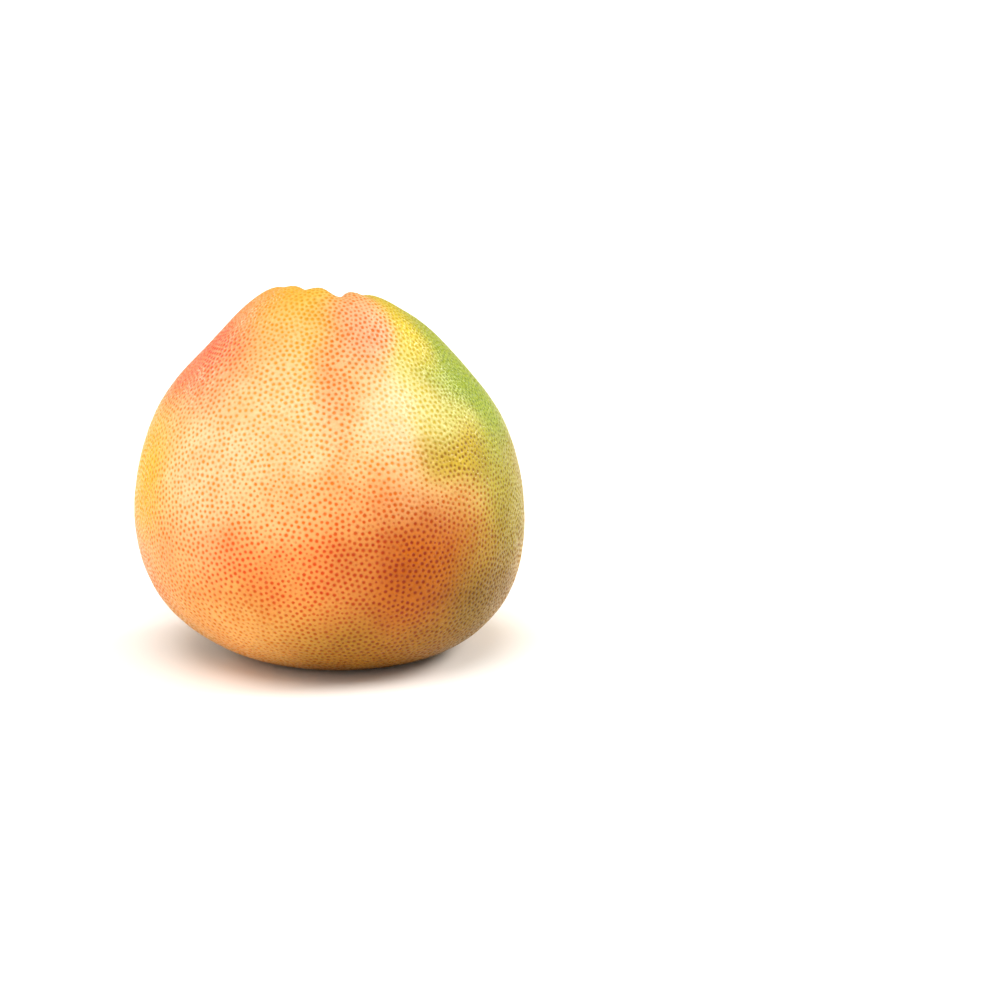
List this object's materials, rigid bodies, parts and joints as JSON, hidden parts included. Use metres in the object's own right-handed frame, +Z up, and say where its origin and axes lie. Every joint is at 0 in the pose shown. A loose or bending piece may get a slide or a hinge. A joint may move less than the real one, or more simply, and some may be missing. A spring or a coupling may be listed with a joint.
{
  "type": "pomelo",
  "caption": "Whole pomelo with pear-like shoulders, a puckered rim and dimple at the stem end, and a flat ring round the hollow blossom end, on which it stands.",
  "frame": {"origin": "on the surface that the fruit stands on, under the middle of its box", "axes": "+Z up through the stem end, -Y towards the side with the higher rim"},
  "size_m": [0.1532, 0.1504, 0.1466],
  "materials": {
    "peel": "waxy citrus peel, yellow-orange with a red blush and a green side, dotted with orange oil glands"
  },
  "bodies": {
    "root": {"pomelo": "peel"}
  },
  "joints": []
}
